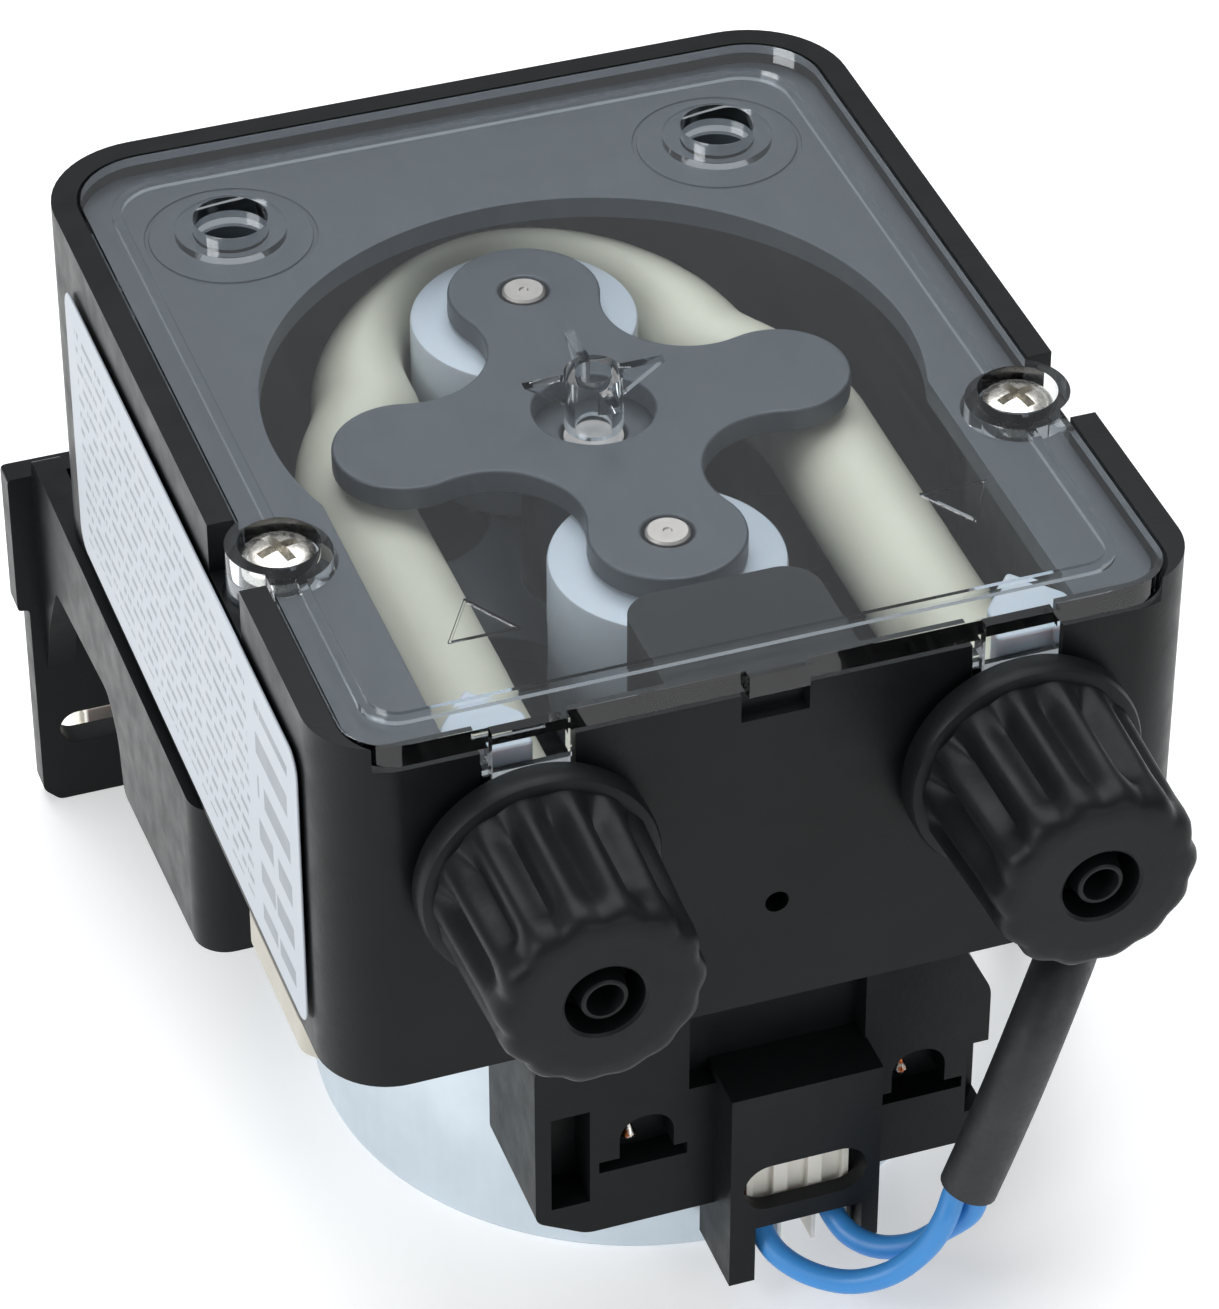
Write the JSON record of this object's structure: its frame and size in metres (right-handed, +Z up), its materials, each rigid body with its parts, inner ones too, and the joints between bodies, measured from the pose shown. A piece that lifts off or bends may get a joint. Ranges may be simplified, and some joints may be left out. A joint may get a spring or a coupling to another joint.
{
  "type": "peristaltic pump",
  "caption": "Small dosing pump: a rotor presses a soft tube inside a black box under a clear lid, on a round gear motor with a wall bracket and a plug-in lead.",
  "frame": {"origin": "on the rotor axis, at the underside of the motor, which is the plane the pump stands on", "axes": "+Z up along the rotor axis, -Y out through the hose nozzles, +X to the right seen from the nozzles"},
  "size_m": [0.0901, 0.172, 0.074],
  "materials": {
    "housing": "satin black moulded plastic",
    "nut": "satin black moulded plastic, ribbed for grip",
    "nozzle": "satin black moulded plastic",
    "deck": "fine-grained dark grey plastic",
    "cover": "clear moulded plastic, polished",
    "rotor": "dark grey plastic, smooth",
    "roller": "white low-friction plastic",
    "retainer": "natural translucent plastic",
    "ring": "black plastic",
    "tube": "ivory pump tubing, slightly dull",
    "steel": "bright steel",
    "screw": "nickel-plated steel",
    "motor": "zinc-plated pressed steel",
    "winding": "enamelled copper winding",
    "magnet": "sintered ferrite",
    "gearcase": "beige plastic",
    "plate": "beige-grey plastic",
    "bracket": "black moulded plastic",
    "terminal": "black moulded plastic",
    "winding_end": "soldered copper wire",
    "plug": "off-white nylon",
    "wire": "blue wire insulation",
    "sleeve": "black sleeving, matt",
    "label": "printed silver-grey label film"
  },
  "bodies": {
    "pump_body": {"motor_can": "motor", "stator_coil": "winding", "gear_case": "gearcase", "mounting_plate": "plate", "plate_screw_front_left": "screw", "plate_screw_front_right": "screw", "plate_screw_rear_left": "screw", "plate_screw_rear_right": "screw", "mounting_bracket": "bracket", "pump_housing": "housing", "deck_plate": "deck", "pump_tube": "tube", "tube_retainer_left": "retainer", "tube_retainer_right": "retainer", "hose_nozzle_left": "nozzle", "hose_nozzle_right": "nozzle", "terminal_block": "terminal", "winding_end_left": "winding_end", "winding_end_right": "winding_end", "plug_housing": "plug", "wire_left": "wire", "wire_right": "wire", "lead_sleeve": "sleeve", "lead_coil": "sleeve", "lead_tail": "sleeve", "lead_connector": "plug", "side_label": "label"},
    "rotor": {"rotor_upper_plate": "rotor", "rotor_hub": "rotor", "roller_pin_rear": "steel", "roller_pin_front": "steel", "drive_shaft": "steel"},
    "rear_roller": {"roller_rear": "roller"},
    "front_roller": {"roller_front": "roller"},
    "motor_magnet": {"magnet_rotor": "magnet"},
    "cover": {"clear_cover": "cover", "cover_screw_left": "screw", "cover_screw_right": "screw"},
    "left_nut": {"hose_nut_left": "nut", "compression_ring_left": "ring"},
    "right_nut": {"hose_nut_right": "nut", "compression_ring_right": "ring"}
  },
  "joints": [
    {"name": "rotor_turn", "type": "hinge", "parent": "pump_body", "child": "rotor", "pos_m": [0, 0, 0.0575], "axis": [0, 0, 1], "continuous": true, "deforming": ["pump_tube"]},
    {"name": "rear_roller_spin", "type": "hinge", "parent": "rotor", "child": "rear_roller", "pos_m": [0, 0.018, 0.0588], "axis": [0, 0, 1], "continuous": true},
    {"name": "front_roller_spin", "type": "hinge", "parent": "rotor", "child": "front_roller", "pos_m": [0, -0.018, 0.0588], "axis": [0, 0, 1], "continuous": true},
    {"name": "magnet_spin", "type": "hinge", "parent": "pump_body", "child": "motor_magnet", "pos_m": [0.0035, 0, 0.009], "axis": [0, 0, 1], "continuous": true},
    {"name": "cover_lift", "type": "slide", "parent": "pump_body", "child": "cover", "axis": [0, 0, 1], "range_m": [0, 0.03]},
    {"name": "left_nut_off", "type": "slide", "parent": "pump_body", "child": "left_nut", "axis": [0, -1, 0], "range_m": [0, 0.014]},
    {"name": "right_nut_off", "type": "slide", "parent": "pump_body", "child": "right_nut", "axis": [0, -1, 0], "range_m": [0, 0.014]}
  ],
  "couplings": [
    {"joint": "rear_roller_spin", "follows": "rotor_turn", "ratio": -2.8557},
    {"joint": "front_roller_spin", "follows": "rotor_turn", "ratio": -2.8557},
    {"joint": "magnet_spin", "follows": "rotor_turn", "ratio": -12.5}
  ]
}
